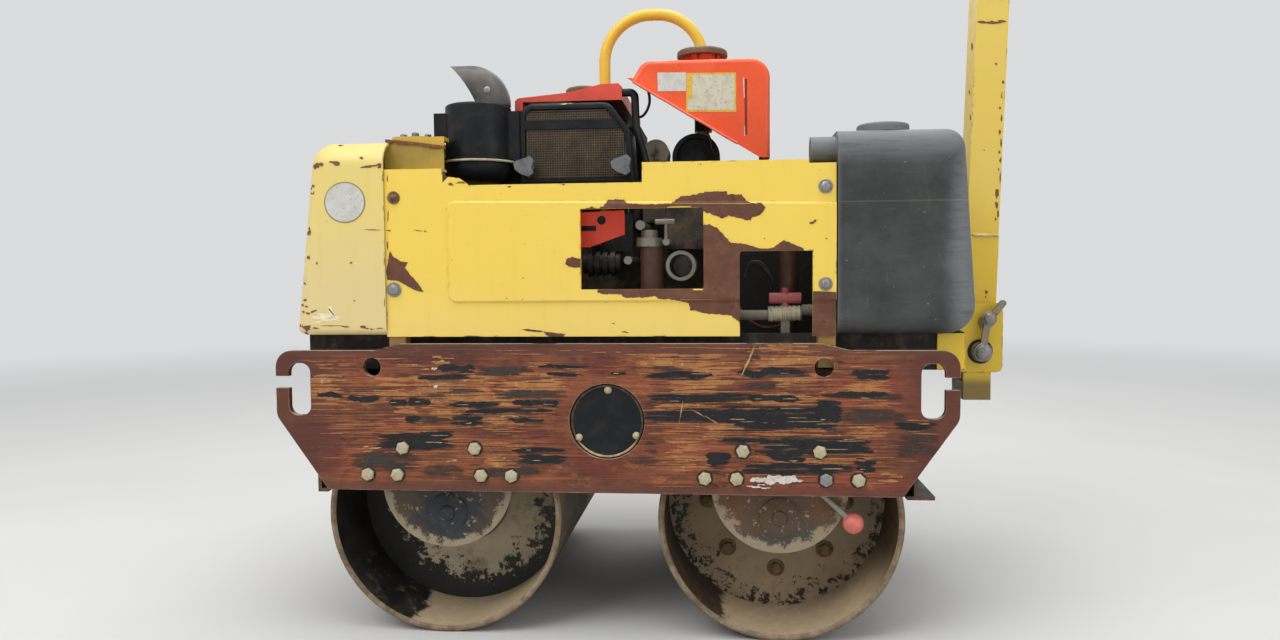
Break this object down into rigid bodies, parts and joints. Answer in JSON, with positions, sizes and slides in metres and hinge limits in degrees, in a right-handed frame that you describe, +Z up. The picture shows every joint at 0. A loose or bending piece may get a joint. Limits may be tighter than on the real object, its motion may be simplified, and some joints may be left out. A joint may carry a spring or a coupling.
{
  "type": "walk-behind road roller with two drums",
  "caption": "Walk-behind vibratory road roller: twin steel drums between long side plates, yellow engine cowls, a water tank, an open diesel engine and a drawbar folded upright.",
  "frame": {"origin": "floor level, in the middle of the machine's length and width, drawbar upright", "axes": "+X towards the drawbar, +Y to the far side, +Z up"},
  "size_m": [1.2953, 0.69, 1.7703],
  "materials": {
    "black_paint": "black paint",
    "hub_steel": "dirty dark rust",
    "yellow_drawbar": "yellow paint with chipped edges",
    "frame_paint": "dirty dark paint",
    "drum_disc": "mud grey over flaking black",
    "drum_steel": "worn bare steel, brown with dirt",
    "engine_metal": "oily cast metal",
    "filter_brown": "brown painted canister",
    "bright_fitting": "dull plated fitting",
    "red_paint": "red paint",
    "yellow_hood": "faded yellow paint with rust chips",
    "rust_steel": "rusted steel",
    "orange_paint": "orange-red gloss paint",
    "hose_black": "black rubber hose",
    "deflector_grey": "dull grey sheet metal, worn",
    "pin_steel": "dull rusted steel",
    "yellow_frame": "yellow paint, dirty",
    "red_ball": "red ball grip",
    "rubber_black": "matt rubber",
    "yellow_panel": "yellow paint peeled to brown primer",
    "plate_rust": "primer and rust with long scratches",
    "grey_plastic": "scuffed moulded plastic",
    "black_plastic": "black moulded plastic"
  },
  "bodies": {
    "chassis": {"air_cleaner": "black_paint", "bearing_carriers_far": "hub_steel", "bearing_carriers_near": "hub_steel", "cross_members": "frame_paint", "drawbar_bracket": "yellow_drawbar", "engine_block": "engine_metal", "engine_canisters": "filter_brown", "engine_fittings": "bright_fitting", "engine_top_plate": "red_paint", "frame_tray": "frame_paint", "front_hood": "yellow_hood", "fuel_cap": "rust_steel", "fuel_tank": "orange_paint", "fuel_tank_brackets": "black_paint", "grey_casting": "engine_metal", "intake_bellows": "hose_black", "intake_deflector": "deflector_grey", "latch_pin": "pin_steel", "lifting_bail": "yellow_frame", "muffler_box": "black_paint", "oil_tank": "yellow_frame", "panel_posts": "yellow_frame", "pivot_pin": "pin_steel", "recoil_housing": "black_paint", "release_lever": "red_ball", "round_covers": "black_paint", "rubber_mounts_far": "rubber_black", "rubber_mounts_near": "rubber_black", "scraper_front": "hub_steel", "scraper_rear": "hub_steel", "side_panel_far": "yellow_panel", "side_panel_near": "yellow_panel", "side_plate_far": "plate_rust", "side_plate_near": "plate_rust", "throttle_bracket": "red_paint", "valve_handle": "red_paint", "water_tank": "grey_plastic", "water_tank_cap": "black_plastic", "water_tank_lid": "grey_plastic", "water_valve": "bright_fitting"},
    "drum_front": {"drum_front_discs": "drum_disc", "drum_front_shaft": "hub_steel", "drum_front_shell": "drum_steel"},
    "drum_rear": {"drum_rear_discs": "drum_disc", "drum_rear_shaft": "hub_steel", "drum_rear_shell": "drum_steel"},
    "drawbar": {"control_head": "yellow_drawbar", "drawbar_foot": "yellow_drawbar", "drawbar_tube": "yellow_drawbar", "handle_hoop": "yellow_drawbar", "travel_lever": "black_paint"}
  },
  "joints": [
    {"name": "drum_front_spin", "type": "hinge", "parent": "chassis", "child": "drum_front", "pos_m": [-0.3686, 0, 0.2], "axis": [0, 1, 0], "continuous": true},
    {"name": "drum_rear_spin", "type": "hinge", "parent": "chassis", "child": "drum_rear", "pos_m": [0.1934, 0, 0.2], "axis": [0, 1, 0], "continuous": true},
    {"name": "drawbar_fold", "type": "hinge", "parent": "chassis", "child": "drawbar", "pos_m": [0.5814, 0, 0.454], "axis": [0, 1, 0], "range_deg": [0, 75]}
  ]
}
